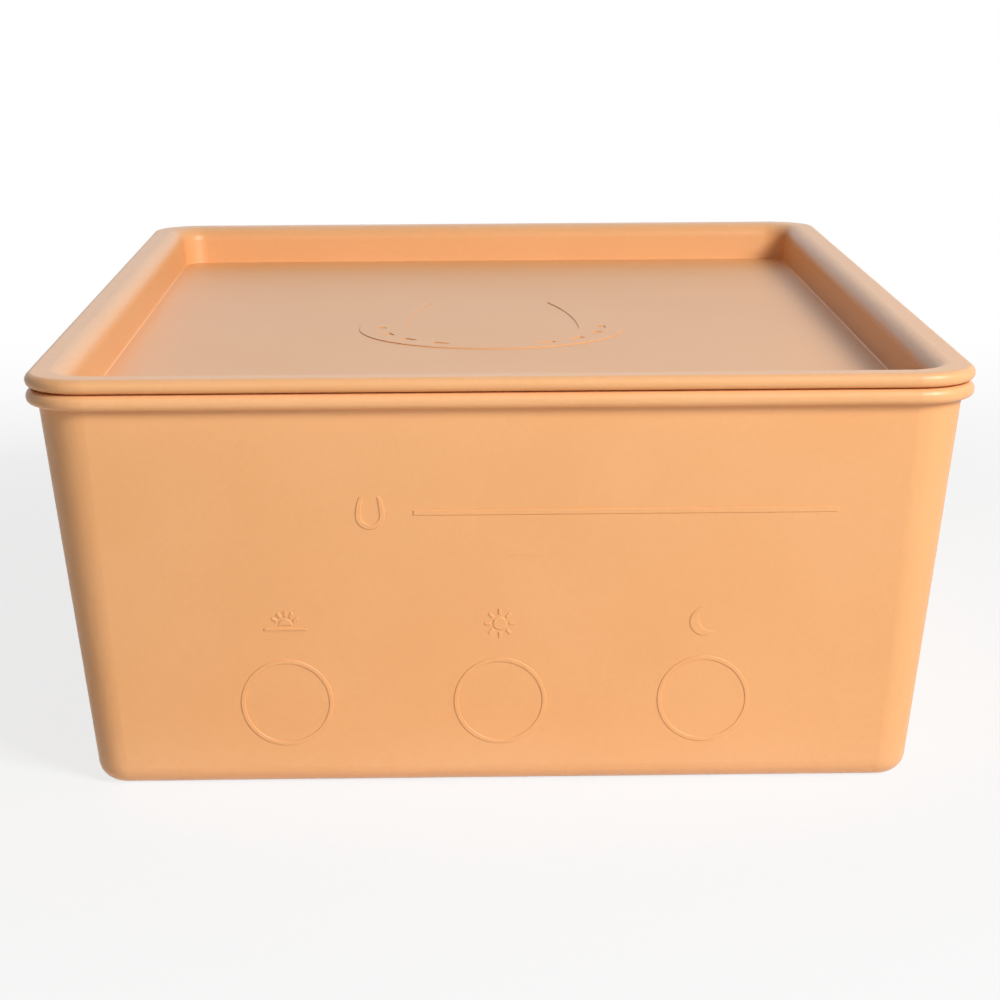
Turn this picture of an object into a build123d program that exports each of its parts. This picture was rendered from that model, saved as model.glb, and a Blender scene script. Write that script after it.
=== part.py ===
from build123d import *
import os
from math import cos, radians, sin, tan

# A feed box for a horse's meals, moulded in plastic as two pieces: a tub with leaning walls and a
# rounded rim, and a lift-off lid whose sunken tray drops into the tub's mouth.
# The origin is at the middle of the base, on the ground. X runs across the front and Y from the
# front to the back, so the marked front wall faces -Y. Z is up. Sizes are in millimetres.

# The rims, seen from above: the lid's rim is the widest outline of the whole box.
rim_width = 264.0
rim_length = 372.0
rim_corner_radius = 17.6
lid_overlap = 0.2  # how far the lid's rim reaches past the tub's rim, all round

# The tub. Its walls lean outwards, so that empty tubs nest.
tub_height = 115.8  # from the ground to the flat top of the tub's rim, where the lid rests
draft_angle = 6.5
tub_wall = 2.2
base_thickness = 2.6
base_corner_radius = 8.8
base_edge_radius = 6.2
foot_width = 9.0  # the flat band that the tub stands on, inside the rounded edge
base_hollow_depth = 0.8  # inside that band, the base is raised by this much
base_hollow_radius = 5.0

# Both rims are beads: flat plates whose outer edges are rounded.
tub_bead_height = 4.3
lid_bead_height = 4.1
bead_overhang = 3.4  # from the tub's outer wall to the outer edge of its bead
bead_edge_radius = 2.0
bead_root_radius = 0.3  # where the tub's wall runs into the bead's underside
mouth_edge_radius = 0.8  # the tub's inner top edge

# The lid rests on a narrow seat, and outside that seat a fine seam stays open between the rims.
seam_height = 0.4
seam_depth = 3.2  # from the outer edge of the lid's rim to the seat

# Under the lid's rim, a low step round the tray fits the tub's mouth and keeps the lid in its place.
locator_clearance = 1.3  # between the step and the tub's inner wall
locator_depth = 3.0  # how far the step reaches down from the seat
locator_edge_radius = 0.8
locator_root_radius = 0.6  # where the step runs into the seat

# The lid's tray
lid_wall = 2.1
tray_depth = 13.7  # from the top of the lid's rim to the tray's floor
tray_gap = 4.2  # between the tray's outer wall and the tub's inner wall
tray_corner_radius = 9.0  # of the tray's inner wall, at the top of the lid's rim
tray_floor_radius = 0.5
rim_roll_radius = 5.3  # the rim's top rolls over into the tray

# Raised marks. The front's marks are placed by their distance from the tub's centre line and by
# their distance up the sloping wall from the ground.
mark_height = 0.25
mark_root = 0.5  # how deep each mark is rooted in the wall under it
mark_edge = 0.12  # the edges of the marks are broken by this much
name_line_length = 117.9
name_line_thickness = 1.5
name_line_centre = 34.2
name_line_level = 81.85
name_sign_height = 9.5
name_sign_gap = 12.0  # from the middle of the horseshoe to the name line's end
ring_radius = 13.1
ring_thickness = 1.2
ring_centres = (-61.1, -0.85, 56.75)
ring_level = 25.3
meal_sign_level = 48.8
sun_radius = 1.9
rising_rays = 5
midday_rays = 8
first_rising_ray = 30.0  # its angle above the horizon
ray_gap = 0.7
ray_length = 1.7
ray_thickness = 0.9
horizon_length = 12.0
moon_radius = 4.2
moon_bite = (2.4, 1.2)  # how far to the right and up the circle that hollows out the moon lies

# The mould has left a faint raised dash on the front wall, under the name line.
mould_dash_length = 9.8
mould_dash_thickness = 0.5
mould_dash_height = 0.12
mould_dash_centre = 6.4
mould_dash_level = 69.1

# The sign in the tray is lower than the front's marks.
tray_sign_height = 104.0  # from the horseshoe's toe to its heels
tray_sign_relief = 0.3

# The horseshoe is drawn with a height of 1 and scaled to each of its places. Its toe is half a
# ring, and its branches draw in to the heels.
shoe_toe_radius = 0.43
shoe_web = 0.15
shoe_heel_reach = 0.31  # from the middle line to the outside of a heel
shoe_heel_web = 0.11
nail_hole_length = 0.055
nail_hole_width = 0.024
nails_each_side = 4
nail_fan = 62.0  # the angle from a side's first nail hole to its last

# Gate marks: a shallow dimple in the middle of each piece's underside, where the plastic flowed in
gate_radius = 4.0
gate_depth = 0.4

# Heights above the ground
tub_bead_underside = tub_height - tub_bead_height
lid_bead_underside = tub_height + seam_height
lid_top = lid_bead_underside + lid_bead_height
tray_floor = lid_top - tray_depth
tray_underside = tray_floor - lid_wall

# Insets are level distances from the tub's outer wall. A leaning wall is thicker when it is
# measured level than when it is measured square to its faces.
slope = tan(radians(draft_angle))
tub_inset = tub_wall / cos(radians(draft_angle))
locator_inset = tub_inset + locator_clearance
tray_outer_inset = tub_inset + tray_gap
tray_inner_inset = tray_outer_inset + lid_wall / cos(radians(draft_angle))

# The tub's outer wall, at the ground and where it meets the bead's underside
tub_rim_width = rim_width - 2 * lid_overlap
tub_rim_length = rim_length - 2 * lid_overlap
tub_rim_radius = rim_corner_radius - lid_overlap
base_width = tub_rim_width - 2 * (bead_overhang + tub_bead_underside * slope)
base_length = tub_rim_length - 2 * (bead_overhang + tub_bead_underside * slope)
radius_growth = (tub_rim_radius - bead_overhang - base_corner_radius) / tub_bead_underside

# The tray's corners are rounder than corners that keep an even distance from the tub's would be.
even_corner_radius = base_corner_radius + lid_top * radius_growth - tray_inner_inset
tray_rounding = tray_corner_radius - even_corner_radius

# How far the middle of each of a sun's rays lies from the sun's own middle
ray_middle = sun_radius + ray_gap + ray_length / 2

# The front wall's own plane: its X runs across the box and its Y up the slope from the ground.
front_wall = Plane(
    origin=(0, -base_length / 2, 0),
    x_dir=(1, 0, 0),
    z_dir=(0, -cos(radians(draft_angle)), -sin(radians(draft_angle))),
)


def wall_plan(level, inset=0.0, rounding=0.0):
    """The outline of the leaning wall at a level, moved inwards by an inset. Rounding is added to
    the corners' radius."""
    spread = level * slope - inset
    corner = base_corner_radius + level * radius_growth - inset + rounding
    with BuildSketch(Plane.XY.offset(level)) as plan:
        RectangleRounded(base_width + 2 * spread, base_length + 2 * spread, corner)
    return plan.sketch


def rim_plate(level, width, length, corner, height):
    """A flat plate whose outer edges are rounded, which becomes a rim once the inside is cut out."""
    with BuildPart() as plate:
        with BuildSketch(Plane.XY.offset(level)):
            RectangleRounded(width, length, corner)
        extrude(amount=height)
        fillet(plate.edges().filter_by(Plane.XY), bead_edge_radius)
    return plate.part


def horseshoe(height, nail_holes):
    """A horseshoe with its toe at the bottom and its two branches open at the top."""
    toe_middle = (0, (shoe_toe_radius - 0.5) * height)
    inner_radius = (shoe_toe_radius - shoe_web) * height
    heel = Vector(shoe_heel_reach, 0.5) * height
    inner_heel = Vector(shoe_heel_reach - shoe_heel_web, 0.5) * height
    with BuildSketch() as shoe:
        with BuildLine():
            outer_toe = CenterArc(toe_middle, shoe_toe_radius * height, 180, 180)
            outer_branch = TangentArc(outer_toe @ 1, heel, tangent=outer_toe % 1)
            inner_toe = CenterArc(toe_middle, inner_radius, 180, 180)
            inner_branch = TangentArc(inner_toe @ 1, inner_heel, tangent=inner_toe % 1)
            heel_end = Line(heel, inner_heel)
            mirror([outer_branch, inner_branch, heel_end], about=Plane.YZ)
        make_face()
        if nail_holes:
            nail_radius = (shoe_toe_radius - shoe_web / 2) * height
            with Locations(toe_middle):
                for start in (-nail_fan, 180):
                    with PolarLocations(nail_radius, nails_each_side, start, nail_fan, endpoint=True):
                        Rectangle(nail_hole_width * height, nail_hole_length * height, mode=Mode.SUBTRACT)
    return shoe.sketch


def rising_sun():
    """The upper half of a sun with five rays, over the line of the horizon."""
    with BuildSketch() as sign:
        Circle(sun_radius)
        fan = 180 - 2 * first_rising_ray
        with PolarLocations(ray_middle, rising_rays, first_rising_ray, fan, endpoint=True):
            Rectangle(ray_length, ray_thickness)
        Rectangle(horizon_length, ray_middle, align=(Align.CENTER, Align.MAX), mode=Mode.SUBTRACT)
        with Locations((0, -ray_gap)):
            Rectangle(horizon_length, ray_thickness, align=(Align.CENTER, Align.MAX))
    return sign.sketch


def midday_sun():
    """A whole sun with eight rays."""
    with BuildSketch() as sign:
        Circle(sun_radius)
        with PolarLocations(ray_middle, midday_rays):
            Rectangle(ray_length, ray_thickness)
    return sign.sketch


def crescent_moon():
    """A crescent whose points open to the right."""
    with BuildSketch() as sign:
        Circle(moon_radius)
        with Locations(moon_bite):
            Circle(moon_radius, mode=Mode.SUBTRACT)
    return sign.sketch


os.makedirs("parts", exist_ok=True)

# The tub's inside
with BuildPart() as feed_space:
    loft([wall_plan(base_thickness, tub_inset), wall_plan(tub_height, tub_inset)], ruled=True)
    fillet(feed_space.edges().group_by(Axis.Z)[0], base_edge_radius - tub_wall)

# The raised marks on the front: a name line, one sign and one ring for each meal of the day, and
# the lower dash that the mould has left. They are rooted a little way inside the wall.
with BuildPart() as front_marks:
    with BuildSketch(front_wall.offset(-mark_root)):
        with Locations((name_line_centre, name_line_level)):
            Rectangle(name_line_length, name_line_thickness)
        with Locations((name_line_centre - name_line_length / 2 - name_sign_gap, name_line_level)):
            add(horseshoe(name_sign_height, nail_holes=False))
        for centre in ring_centres:
            with Locations((centre, ring_level)):
                Circle(ring_radius)
                Circle(ring_radius - ring_thickness, mode=Mode.SUBTRACT)
        for centre, sign in zip(ring_centres, (rising_sun(), midday_sun(), crescent_moon())):
            with Locations((centre, meal_sign_level)):
                add(sign)
    extrude(amount=mark_root + mark_height)
    out_of_front = Axis(front_wall.origin, front_wall.z_dir)
    chamfer(front_marks.faces().group_by(out_of_front)[-1].edges(), mark_edge)
    with BuildSketch(front_wall.offset(-mark_root)):
        with Locations((mould_dash_centre, mould_dash_level)):
            Rectangle(mould_dash_length, mould_dash_thickness)
    extrude(amount=mark_root + mould_dash_height)

# The tub
with BuildPart() as tub:
    loft([wall_plan(0), wall_plan(tub_height)], ruled=True)
    fillet(tub.edges().group_by(Axis.Z)[0], base_edge_radius)
    add(rim_plate(tub_bead_underside, tub_rim_width, tub_rim_length, tub_rim_radius, tub_bead_height))
    bead_underside = tub.faces().filter_by(Plane.XY).group_by(Axis.Z)[1][0]
    fillet(bead_underside.inner_wires()[0].edges(), bead_root_radius)
    add(feed_space.part, mode=Mode.SUBTRACT)
    rim_top = tub.faces().filter_by(Plane.XY).group_by(Axis.Z)[-1][0]
    fillet(rim_top.inner_wires()[0].edges(), mouth_edge_radius)
    with BuildSketch():
        foot_inset = base_edge_radius + foot_width
        RectangleRounded(base_width - 2 * foot_inset, base_length - 2 * foot_inset, base_hollow_radius)
    extrude(amount=base_hollow_depth, mode=Mode.SUBTRACT)
    with BuildSketch(Plane.XY.offset(base_hollow_depth)):
        Circle(gate_radius)
    extrude(amount=gate_depth, mode=Mode.SUBTRACT)
    add(front_marks.part)

tub.part.label = "tub"
export_step(tub.part, "parts/tub.step")

# The inside of the lid's tray
with BuildPart() as tray_space:
    levels = (tray_floor, lid_top)
    loft([wall_plan(level, tray_inner_inset, tray_rounding) for level in levels], ruled=True)
    fillet(tray_space.edges().group_by(Axis.Z)[0], tray_floor_radius)

# The raised horseshoe in the middle of the tray
with BuildPart() as tray_sign:
    with BuildSketch(Plane.XY.offset(tray_floor - mark_root)):
        add(horseshoe(tray_sign_height, nail_holes=True))
    extrude(amount=mark_root + tray_sign_relief)
    chamfer(tray_sign.faces().sort_by(Axis.Z)[-1].edges(), mark_edge)

# The lid
with BuildPart() as lid:
    levels = (tray_underside, tub_height)
    loft([wall_plan(level, tray_outer_inset, tray_rounding) for level in levels], ruled=True)
    fillet(lid.edges().group_by(Axis.Z)[0], tray_floor_radius + lid_wall)
    with BuildSketch(Plane.XY.offset(tub_height)):
        seat_corner = rim_corner_radius - seam_depth
        RectangleRounded(rim_width - 2 * seam_depth, rim_length - 2 * seam_depth, seat_corner)
    extrude(amount=seam_height)
    levels = (tub_height - locator_depth, tub_height)
    loft([wall_plan(level, locator_inset) for level in levels], ruled=True)
    add(rim_plate(lid_bead_underside, rim_width, rim_length, rim_corner_radius, lid_bead_height))
    step_end = lid.faces().filter_by(Plane.XY).group_by(Axis.Z)[1][0]
    fillet(step_end.outer_wire().edges(), locator_edge_radius)
    seat = lid.faces().filter_by(Plane.XY).group_by(Axis.Z)[2][0]
    fillet(seat.inner_wires()[0].edges(), locator_root_radius)
    add(tray_space.part, mode=Mode.SUBTRACT)
    lid_rim_top = lid.faces().filter_by(Plane.XY).group_by(Axis.Z)[-1][0]
    fillet(lid_rim_top.inner_wires()[0].edges(), rim_roll_radius)
    add(tray_sign.part)
    with BuildSketch(Plane.XY.offset(tray_underside)):
        Circle(gate_radius)
    extrude(amount=gate_depth, mode=Mode.SUBTRACT)

lid.part.label = "lid"
export_step(lid.part, "parts/lid.step")

print("base", round(base_width, 2), "by", round(base_length, 2), "height", round(lid_top, 2))
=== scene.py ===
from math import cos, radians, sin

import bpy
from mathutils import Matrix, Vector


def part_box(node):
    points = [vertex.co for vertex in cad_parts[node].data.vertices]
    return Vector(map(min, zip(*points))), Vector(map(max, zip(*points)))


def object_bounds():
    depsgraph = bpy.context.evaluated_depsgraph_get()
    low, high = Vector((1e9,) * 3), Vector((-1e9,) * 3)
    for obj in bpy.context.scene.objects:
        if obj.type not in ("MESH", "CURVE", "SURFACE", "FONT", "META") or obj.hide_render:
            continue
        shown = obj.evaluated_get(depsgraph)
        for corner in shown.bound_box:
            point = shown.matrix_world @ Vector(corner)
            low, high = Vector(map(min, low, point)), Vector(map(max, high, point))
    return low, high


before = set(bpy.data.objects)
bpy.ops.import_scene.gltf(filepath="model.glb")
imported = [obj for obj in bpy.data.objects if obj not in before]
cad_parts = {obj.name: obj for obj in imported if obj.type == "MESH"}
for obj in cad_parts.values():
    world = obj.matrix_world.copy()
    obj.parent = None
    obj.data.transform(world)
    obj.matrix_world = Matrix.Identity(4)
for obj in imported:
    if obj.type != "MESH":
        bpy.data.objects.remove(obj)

# %% [markdown]
# A feed box in moulded plastic
#
# This lesson dresses a finished model: a horse's feed box of two mouldings, a tub with leaning walls
# and a lift-off lid with a sunken tray. Both shapes arrive ready in the frame, at their real size,
# with the raised marks on the front and in the tray. What is left to make is everything that light
# does to them: the camera, the studio and the plastic itself. All lengths below are in metres, with
# Z up and the marked front facing -Y. The lamps look at the middle of the whole box, and the heights
# of the bands of wear and painted light are worked out from the pieces' own boxes, so both are
# measured first.

cad_low, cad_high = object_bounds()
tub_low, tub_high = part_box("tub")
lid_low, lid_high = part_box("lid")
box_middle = (cad_low + cad_high) / 2
print("tub", [round(side * 1000, 1) for side in tub_high - tub_low], "mm")
print("lid", [round(side * 1000, 1) for side in lid_high - lid_low], "mm")

# %% [markdown]
# The camera
#
# A camera is matched to a photograph by its place, the way it looks and its focal length. Here they
# come from a fit: the outlines, the rims and the rings were measured in the picture, and a camera
# was moved until a box of the real size gave the same lines. It stands about 0.7 m in front of the
# box with a long lens, which keeps the sides nearly straight. The yaw turns it towards +X, the pitch
# tips it down, and the small roll is the photographer's own.

# %% The camera at the photograph's place
picture_side = 1000.0
focal_pixels = 2696.5
sensor_width = 36.0
camera_place = Vector((-0.01367, -0.90771, 0.24348))
camera_yaw = radians(1.02)
camera_pitch = radians(12.29)
camera_roll = radians(-0.31)

bpy.ops.object.select_all(action="DESELECT")
bpy.ops.object.camera_add(location=camera_place)
camera = bpy.context.object
camera.name = "photo_camera"
camera.data.sensor_width = sensor_width
camera.data.lens = sensor_width * focal_pixels / picture_side
heading = Matrix.Rotation(-camera_yaw, 4, "Z") @ Matrix.Rotation(radians(90) - camera_pitch, 4, "X")
camera.rotation_euler = (heading @ Matrix.Rotation(camera_roll, 4, "Z")).to_euler()
bpy.context.scene.camera = camera
print("camera lens", round(camera.data.lens, 1), "mm")

# %% [markdown]
# Helpers for node trees
#
# A material or a world is a tree of nodes: each node computes one thing, and links carry the results
# on. The studio and the plastic need the same few steps again and again, so three helpers say them
# once: one makes an empty material, one adds a Math node and one adds a Map Range node, which
# stretches one range of values over another.

# %% Helpers for materials
def new_material(name):
    """An empty material, with its node tree's nodes and links."""
    material = bpy.data.materials.new(name)
    material.use_nodes = True
    material.node_tree.nodes.clear()
    return material, material.node_tree.nodes, material.node_tree.links


def add_math(nodes, links, operation, first, second):
    """A Math node. Each input is either a number or the socket that feeds it."""
    node = nodes.new("ShaderNodeMath")
    node.operation = operation
    for index, value in enumerate((first, second)):
        if isinstance(value, bpy.types.NodeSocket):
            links.new(value, node.inputs[index])
        else:
            node.inputs[index].default_value = value
    return node.outputs["Value"]


def add_map_range(nodes, links, value, source, target, smooth=False):
    """A Map Range node from the source range to the target range, clamped at both ends."""
    node = nodes.new("ShaderNodeMapRange")
    node.interpolation_type = "SMOOTHSTEP" if smooth else "LINEAR"
    links.new(value, node.inputs["Value"])
    node.inputs["From Min"].default_value, node.inputs["From Max"].default_value = source
    node.inputs["To Min"].default_value, node.inputs["To Max"].default_value = target
    return node.outputs["Result"]


# %% [markdown]
# The floor
#
# The box stands on a pale sweep of paper. A photographer lights such paper until it turns white;
# more light here would wash out the plastic, so the paper is painted bright for the rays that look
# at it instead. Light Path tells those rays apart: what the camera sees, and what the plastic
# mirrors, is nearly all glow of strength 1, which is white. The light that the floor throws back
# onto the box stays that of plain paper. Close to the box a share of the real paper is left in,
# so that the box keeps its soft shadow and doesn't float.

# %% The floor's plane
floor_size = 24.0

bpy.ops.object.select_all(action="DESELECT")
bpy.ops.mesh.primitive_plane_add(size=floor_size)
floor = bpy.context.object
floor.name = "studio_floor"
print("floor", floor_size, "m wide")

# %% How much of the paper is glow
shadow_reach = (0.25, 0.75)  # from the middle of the box to where the real paper fades out
glow_share = (0.80, 1.0)  # how much of the paper is glow, beside the box and far from it

paper, nodes, links = new_material("studio_paper")
place = nodes.new("ShaderNodeTexCoord")
distance = nodes.new("ShaderNodeVectorMath")
distance.operation = "LENGTH"
links.new(place.outputs["Object"], distance.inputs[0])
share = add_map_range(nodes, links, distance.outputs["Value"], shadow_reach, glow_share, smooth=True)
path = nodes.new("ShaderNodeLightPath")
looking = add_math(nodes, links, "MAXIMUM", path.outputs["Is Camera Ray"], path.outputs["Is Glossy Ray"])
glow_factor = add_math(nodes, links, "MULTIPLY", looking, share)
print("all glow beyond", shadow_reach[1], "m from the middle")

# %% The paper and its glow
paper_white = 0.86

real_paper = nodes.new("ShaderNodeBsdfDiffuse")
real_paper.inputs["Color"].default_value = (paper_white, paper_white, paper_white, 1)
glow = nodes.new("ShaderNodeEmission")
blend = nodes.new("ShaderNodeMixShader")
links.new(glow_factor, blend.inputs["Fac"])
links.new(real_paper.outputs["BSDF"], blend.inputs[1])
links.new(glow.outputs["Emission"], blend.inputs[2])
paper_output = nodes.new("ShaderNodeOutputMaterial")
links.new(blend.outputs["Shader"], paper_output.inputs["Surface"])
floor.data.materials.append(paper)
print("floor in", paper.name)

# %% [markdown]
# The backdrop
#
# Behind the floor there is only the world. It is white, of strength 1, to the camera, to glossy
# rays and to rays through clear things, for the same reason as the paper. For the soft light that
# comes from all round it is far weaker, because the photograph's shaded sides are deep in tone:
# only enough is left that no side of the box turns black.

# %% The white world
surrounding_light = 0.03

world = bpy.data.worlds.new("white_studio")
world.use_nodes = True
bpy.context.scene.world = world
nodes = world.node_tree.nodes
links = world.node_tree.links
path = nodes.new("ShaderNodeLightPath")
looking = add_math(nodes, links, "MAXIMUM", path.outputs["Is Camera Ray"], path.outputs["Is Glossy Ray"])
looking = add_math(nodes, links, "MAXIMUM", looking, path.outputs["Is Transmission Ray"])
strength = add_map_range(nodes, links, looking, (0, 1), (surrounding_light, 1.0))
nodes["Background"].inputs["Color"].default_value = (1, 1, 1, 1)
links.new(strength, nodes["Background"].inputs["Strength"])
print("world strength", surrounding_light, "as light, 1 as backdrop")

# %% [markdown]
# The lamps
#
# A plain box tells where its light comes from. In the photograph the faces towards the camera are
# the brightest, the tray's wall that faces right comes next, the one that faces left is deep in
# tone, and each rim draws a crisp dark line on the wall under it. A broad lamp would wash that line
# out. So the key is a middling softbox to the right of the camera, about 30 degrees up, and over
# two metres away, so that the front's left end gets nearly as much light as its right. Three weak
# lamps help it: one in front lifts the left corner and the tray's back wall, and of two behind the
# box the high one lifts the tray's floor, which the key only grazes, and the low one puts a sheen
# on that floor. All are area lamps, because only a source with some size gives the soft gradients
# of moulded plastic.

# %% A helper for softboxes
def add_softbox(name, azimuth, elevation, distance, size, power):
    """A square softbox that looks at the box. Azimuth 0 is in front and 90 is at the right."""
    turn = radians(azimuth)
    rise = radians(elevation)
    direction = Vector((sin(turn) * cos(rise), -cos(turn) * cos(rise), sin(rise)))
    bpy.ops.object.light_add(type="AREA", location=box_middle + distance * direction)
    lamp = bpy.context.object
    lamp.name = name
    lamp.data.shape = "SQUARE"
    lamp.data.size = size
    lamp.data.energy = power
    lamp.rotation_euler = (-direction).to_track_quat("-Z", "Y").to_euler()
    lamp.visible_camera = False
    print(name, power, "W at", [round(part, 2) for part in lamp.location])


# %% The four softboxes
add_softbox("key_softbox", azimuth=40, elevation=31, distance=2.2, size=0.75, power=47.0)
add_softbox("front_softbox", azimuth=-5, elevation=12, distance=1.5, size=0.5, power=0.9)
add_softbox("high_softbox", azimuth=180, elevation=60, distance=1.5, size=1.0, power=2.0)
add_softbox("sheen_softbox", azimuth=180, elevation=25, distance=1.5, size=1.0, power=0.9)

# %% [markdown]
# The colour of the plastic
#
# The box is moulded in polypropylene with the pigment mixed in, so its colour isn't a coat: it is
# the same all through, but never quite even. Where the melt flowed, faint cloudy patches stay, and
# finer specks lie over them. A node group holds this effect, because both mouldings use it: it takes
# a position and two close tones, and gives a colour between them. The patches come from two Noise
# textures, a broad one for the flow and a fine one for the specks.

# %% Helpers for node groups
def new_group(name, inputs, output, kind):
    """A node group with the named inputs and one output. Gives it with its two end nodes."""
    group = bpy.data.node_groups.new(name, "ShaderNodeTree")
    for label, input_kind in inputs.items():
        group.interface.new_socket(name=label, in_out="INPUT", socket_type=input_kind)
    group.interface.new_socket(name=output, in_out="OUTPUT", socket_type=kind)
    return group, group.nodes.new("NodeGroupInput"), group.nodes.new("NodeGroupOutput")


def add_noise(nodes, links, position, scale, detail):
    """A Noise texture. Its scale is a number or a socket, in waves to the metre."""
    noise = nodes.new("ShaderNodeTexNoise")
    noise.inputs["Detail"].default_value = detail
    links.new(position, noise.inputs["Vector"])
    if isinstance(scale, bpy.types.NodeSocket):
        links.new(scale, noise.inputs["Scale"])
    else:
        noise.inputs["Scale"].default_value = scale
    return noise.outputs["Fac"]


# %% Node group: pigment mottle
speck_ratio = 26.0  # how much finer the specks are than the flow patches
speck_share = 0.35
flow_detail = 2.0
speck_detail = 1.0
cloud_range = (0.35, 0.65)  # a Noise texture seldom leaves it, so both tones are reached

mottle_inputs = {
    "Position": "NodeSocketVector",
    "Deep Tone": "NodeSocketColor",
    "Pale Tone": "NodeSocketColor",
    "Patch Scale": "NodeSocketFloat",
}
pigment_mottle, given, result = new_group("pigment_mottle", mottle_inputs, "Colour", "NodeSocketColor")
nodes = pigment_mottle.nodes
links = pigment_mottle.links
flow = add_noise(nodes, links, given.outputs["Position"], given.outputs["Patch Scale"], flow_detail)
fine_scale = add_math(nodes, links, "MULTIPLY", given.outputs["Patch Scale"], speck_ratio)
specks = add_noise(nodes, links, given.outputs["Position"], fine_scale, speck_detail)
flow_part = add_math(nodes, links, "MULTIPLY", flow, 1 - speck_share)
speck_part = add_math(nodes, links, "MULTIPLY", specks, speck_share)
cloud = add_math(nodes, links, "ADD", flow_part, speck_part)
tones = nodes.new("ShaderNodeMix")
tones.data_type = "RGBA"
links.new(add_map_range(nodes, links, cloud, cloud_range, (0, 1), smooth=True), tones.inputs["Factor"])
links.new(given.outputs["Deep Tone"], tones.inputs["A"])
links.new(given.outputs["Pale Tone"], tones.inputs["B"])
links.new(tones.outputs["Result"], result.inputs["Colour"])
print("group", pigment_mottle.name, "with", len(nodes), "nodes")

# %% [markdown]
# The skin of the plastic
#
# Seen close, the mould's blasted steel leaves a fine grain, about half a millimetre from crest to
# crest. It is far too small to model, so it is a height for a Bump node. One Noise texture gives the
# grain's crests. A second one, ten times as broad, makes the skin a little wavy, as the plastic
# shrinks unevenly when it cools, and the long reflections tremble with it.

# %% Node group: moulded grain
wave_ratio = 0.1
wave_share = 3.0  # the waves are broader than the grain, and so much higher
crest_detail = 1.0
wave_detail = 0.0

grain_inputs = {"Position": "NodeSocketVector", "Grain Scale": "NodeSocketFloat"}
moulded_grain, given, result = new_group("moulded_grain", grain_inputs, "Height", "NodeSocketFloat")
nodes = moulded_grain.nodes
links = moulded_grain.links
crests = add_noise(nodes, links, given.outputs["Position"], given.outputs["Grain Scale"], crest_detail)
wave_scale = add_math(nodes, links, "MULTIPLY", given.outputs["Grain Scale"], wave_ratio)
waves = add_noise(nodes, links, given.outputs["Position"], wave_scale, wave_detail)
high_waves = add_math(nodes, links, "MULTIPLY", waves, wave_share)
links.new(add_math(nodes, links, "ADD", crests, high_waves), result.inputs["Height"])
print("group", moulded_grain.name, "with", len(nodes), "nodes")

# %% [markdown]
# Handling marks
#
# A box that has been wiped and stacked carries hairlines, which run every way and show only where
# light glances off them. Noise that is stretched long and thin, and cut off near its crests, looks
# like them. The group lays three such directions over each other and keeps them to loose patches.

# %% Node group: handling marks
hairline_length = 0.018
hairline_width = 0.00035
hairline_turns = (12, 71, 133)  # degrees about each axis, so that the three sets cross
hairline_cut = (0.66, 0.72)  # only the noise's highest crests become lines
hairline_scale = 1.0  # the Mapping node has already given each line its length and width
hairline_detail = 1.0
patch_scale = 22.0  # loose patches to the metre
patch_detail = 2.0
patch_cut = (0.45, 0.62)

mark_inputs = {"Position": "NodeSocketVector", "Turn": "NodeSocketVector"}
handling_marks, given, result = new_group("handling_marks", mark_inputs, "Mask", "NodeSocketFloat")
nodes = handling_marks.nodes
links = handling_marks.links
own_turn = nodes.new("ShaderNodeVectorRotate")
own_turn.rotation_type = "EULER_XYZ"
links.new(given.outputs["Position"], own_turn.inputs["Vector"])
links.new(given.outputs["Turn"], own_turn.inputs["Rotation"])
mask = None
for degrees_turned in hairline_turns:
    stretch = nodes.new("ShaderNodeMapping")
    stretch.vector_type = "TEXTURE"
    stretch.inputs["Rotation"].default_value = [radians(degrees_turned)] * 3
    stretch.inputs["Scale"].default_value = (hairline_length, hairline_width, hairline_width)
    links.new(own_turn.outputs["Vector"], stretch.inputs["Vector"])
    lines = add_noise(nodes, links, stretch.outputs["Vector"], hairline_scale, hairline_detail)
    lines = add_map_range(nodes, links, lines, hairline_cut, (0, 1))
    mask = lines if mask is None else add_math(nodes, links, "MAXIMUM", mask, lines)
patches = add_noise(nodes, links, given.outputs["Position"], patch_scale, patch_detail)
patches = add_map_range(nodes, links, patches, patch_cut, (0, 1), smooth=True)
links.new(add_math(nodes, links, "MULTIPLY", mask, patches), result.inputs["Mask"])
print("group", handling_marks.name, "with", len(nodes), "nodes")

# %% [markdown]
# Edge wear and painted light
#
# Plastic pales where it is rubbed: along the foot, which is dragged over shelves and floors, and
# along the rims, which hands and other boxes touch. The same pale bands are also painted light: on
# the rims a painted highlight, and at the foot painted light that the white floor throws up onto
# the bottom of the walls. Wear could be masked by the curvature of the mesh, but that needs one
# joined mesh, and a moulding from CAD comes as loose triangles. The worn edges of this box all lie
# level, so height alone finds them. The group turns a height into a band that grows from a start to
# a full value, and breaks it up with a Noise texture.

# %% Node group: edge wear and painted light
band_patch_size = 0.0025
band_detail = 2.0
band_breaks = (0.36, 0.62)
least_band = 0.7  # what the band keeps where the noise breaks it

band_inputs = {
    "Position": "NodeSocketVector",
    "Height": "NodeSocketFloat",
    "Start Height": "NodeSocketFloat",
    "Full Height": "NodeSocketFloat",
}
wear_and_painted_light, given, result = new_group("wear_and_painted_light", band_inputs, "Mask", "NodeSocketFloat")
nodes = wear_and_painted_light.nodes
links = wear_and_painted_light.links
band = nodes.new("ShaderNodeMapRange")
band.interpolation_type = "SMOOTHSTEP"
links.new(given.outputs["Height"], band.inputs["Value"])
links.new(given.outputs["Start Height"], band.inputs["From Min"])
links.new(given.outputs["Full Height"], band.inputs["From Max"])
breaks = add_noise(nodes, links, given.outputs["Position"], 1 / band_patch_size, band_detail)
breaks = add_map_range(nodes, links, breaks, band_breaks, (least_band, 1), smooth=True)
links.new(add_math(nodes, links, "MULTIPLY", band.outputs["Result"], breaks), result.inputs["Mask"])
print("group", wear_and_painted_light.name, "with", len(nodes), "nodes")
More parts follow.
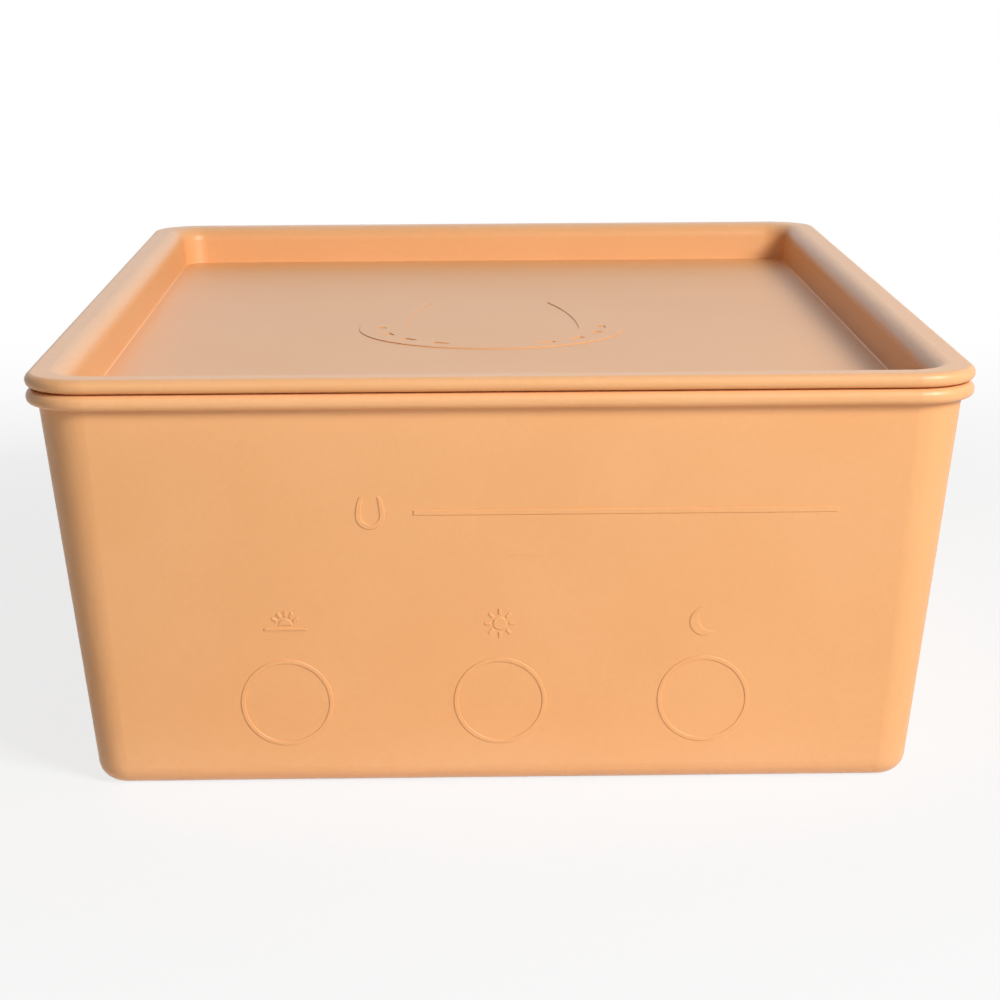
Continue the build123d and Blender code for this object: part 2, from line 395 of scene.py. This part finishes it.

# %% [markdown]
# The mask of wear and painted light
#
# A moulding can be worn at more than one height: the tub rubs at its foot and at its rim, and both
# bands carry painted light as well. Each band is one copy of the group of edge wear and painted
# light, and a Math node set to Maximum joins them into one mask.

# %% A helper for the mask of wear and painted light
def add_group(nodes, group):
    """A Group node that holds the given node group."""
    node = nodes.new("ShaderNodeGroup")
    node.node_tree = group
    return node


def add_wear_and_light_mask(nodes, links, position, height, wear_and_light_bands):
    """Edge wear and painted light in one band or more, each from its start height to its full height."""
    worn_and_lit = None
    for start, full in wear_and_light_bands:
        band_copy = add_group(nodes, wear_and_painted_light)
        band_copy.inputs["Start Height"].default_value = start
        band_copy.inputs["Full Height"].default_value = full
        links.new(position, band_copy.inputs["Position"])
        links.new(height, band_copy.inputs["Height"])
        mask = band_copy.outputs["Mask"]
        worn_and_lit = mask if worn_and_lit is None else add_math(nodes, links, "MAXIMUM", worn_and_lit, mask)
    return worn_and_lit


# %% [markdown]
# From mottle to finished colour
#
# The mottle is the ground. Marks on it look paler: a scratch throws up fine crests that scatter
# more light, and long rubbing stresses the skin, which whitens it. The pale tone of the worn bands
# is painted light as well: a painted highlight on the rims and painted floor light at the foot.
# Each kind of mark is mixed in by its own mask, only part of the way, because plastic that is
# coloured all through never marks white.

# %% A helper for the colour
deep_apricot = (0.832, 0.405, 0.158, 1)
pale_apricot = (0.848, 0.422, 0.172, 1)
hairline_tone = (0.88, 0.50, 0.25, 1)
hairline_paleness = 0.25
# The worn tone is wear and also painted light: a painted highlight on the rims, painted floor light at
# the foot.
worn_and_lit_tone = (0.89, 0.53, 0.29, 1)
wear_and_light_paleness = 0.28


def add_tone(nodes, links, mask, strength, colour, tone):
    """A Mix node from the socket of a colour towards a plain tone, by a mask of that strength."""
    node = nodes.new("ShaderNodeMix")
    node.data_type = "RGBA"
    links.new(add_math(nodes, links, "MULTIPLY", mask, strength), node.inputs["Factor"])
    links.new(colour, node.inputs["A"])
    node.inputs["B"].default_value = tone
    return node.outputs["Result"]


def add_colour(nodes, links, position, patch_size, scratches, worn_and_lit):
    """The mottled apricot, paler on the hairlines and in the bands of wear and painted light."""
    mottle = add_group(nodes, pigment_mottle)
    mottle.inputs["Deep Tone"].default_value = deep_apricot
    mottle.inputs["Pale Tone"].default_value = pale_apricot
    mottle.inputs["Patch Scale"].default_value = 1 / patch_size
    links.new(position, mottle.inputs["Position"])
    scratched = add_tone(
        nodes, links, scratches, hairline_paleness, mottle.outputs["Colour"], hairline_tone
    )
    return add_tone(nodes, links, worn_and_lit, wear_and_light_paleness, scratched, worn_and_lit_tone)


# %% [markdown]
# Roughness and grain
#
# A satin moulding has a middling roughness. It falls a little where edges are rubbed smooth, and
# rises on the hairlines, so that the marks show in the sheen more than in the colour. The grain's
# height goes through a Bump node, which tilts the shading but leaves the shape alone. Its Distance
# is the depth of the grain, about a hundredth of a millimetre, which keeps the sheen calm.

# %% Helpers for roughness and grain
satin_roughness = 0.42
rubbed_roughness = 0.36
scratched_roughness = 0.52
grain_size = 0.00045
grain_depth = 0.000012


def add_roughness(nodes, links, scratches, worn_and_lit):
    """Satin, smoother where it is worn and rougher on the hairlines."""
    smoothness = add_map_range(nodes, links, worn_and_lit, (0, 1), (satin_roughness, rubbed_roughness))
    roughening = scratched_roughness - satin_roughness
    scratch_rise = add_math(nodes, links, "MULTIPLY", scratches, roughening)
    return add_math(nodes, links, "ADD", smoothness, scratch_rise)


def add_grain(nodes, links, position):
    """The normal of the moulded grain."""
    grain = add_group(nodes, moulded_grain)
    grain.inputs["Grain Scale"].default_value = 1 / grain_size
    links.new(position, grain.inputs["Position"])
    bump = nodes.new("ShaderNodeBump")
    bump.inputs["Distance"].default_value = grain_depth
    links.new(grain.outputs["Height"], bump.inputs["Height"])
    return bump.outputs["Normal"]


# %% [markdown]
# The two mouldings
#
# Both pieces come from the frame with their true shape, so each keeps its mesh and gets a material
# of its own, made by one function with its own values. Object coordinates hold the pattern still
# while the lid is lifted, and the Mapping node moves it, so that the lid doesn't repeat the tub's.
# The bands of wear and painted light are read from the unmoved height. The index of refraction is
# the same all over, so it is set on the Principled shader itself.

# %% The function for a moulding's plastic
plastic_ior = 1.49


def moulded_plastic(name, offset, turn, patch_size, wear_and_light_bands):
    """Satin plastic with its pattern moved by offset and its hairlines turned by turn."""
    material, nodes, links = new_material(name)
    place = nodes.new("ShaderNodeTexCoord")
    shift = nodes.new("ShaderNodeMapping")
    shift.inputs["Location"].default_value = offset
    links.new(place.outputs["Object"], shift.inputs["Vector"])
    position = shift.outputs["Vector"]
    axes = nodes.new("ShaderNodeSeparateXYZ")
    links.new(place.outputs["Object"], axes.inputs["Vector"])

    marks = add_group(nodes, handling_marks)
    marks.inputs["Turn"].default_value = turn
    links.new(position, marks.inputs["Position"])
    scratches = marks.outputs["Mask"]
    worn_and_lit = add_wear_and_light_mask(nodes, links, position, axes.outputs["Z"], wear_and_light_bands)

    shader = nodes.new("ShaderNodeBsdfPrincipled")
    shader.inputs["IOR"].default_value = plastic_ior
    colour = add_colour(nodes, links, position, patch_size, scratches, worn_and_lit)
    links.new(colour, shader.inputs["Base Color"])
    links.new(add_roughness(nodes, links, scratches, worn_and_lit), shader.inputs["Roughness"])
    links.new(add_grain(nodes, links, position), shader.inputs["Normal"])
    output = nodes.new("ShaderNodeOutputMaterial")
    links.new(shader.outputs["BSDF"], output.inputs["Surface"])
    return material


# %% Plastic on the tub
# The foot band and the bead band are wear and also painted light: floor light at the foot, a highlight
# on the bead.
tub_bead_drop = 0.006
foot_band_top = 0.022

tub_plastic = moulded_plastic(
    "tub_plastic",
    offset=(0.31, 0.17, 0.05),
    turn=(0.0, 0.0, 0.0),
    patch_size=0.045,
    wear_and_light_bands=[(foot_band_top, tub_low.z), (tub_high.z - tub_bead_drop, tub_high.z)],
)
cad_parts["tub"].material_slots[0].material = tub_plastic
print("tub in", tub_plastic.name)

# %% Plastic on the lid
# The band on the lid's rim is wear and also a painted highlight.
lid_rim_drop = 0.004

lid_plastic = moulded_plastic(
    "lid_plastic",
    offset=(-0.23, 0.41, 0.13),
    turn=(0.4, 0.9, 0.2),
    patch_size=0.055,
    wear_and_light_bands=[(lid_high.z - lid_rim_drop, lid_high.z)],
)
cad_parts["lid"].material_slots[0].material = lid_plastic
print("lid in", lid_plastic.name)

# %% [markdown]
# Closing
#
# The view transform Standard shows each colour as it is written.

# %% The view transform
bpy.context.scene.view_settings.view_transform = "Standard"
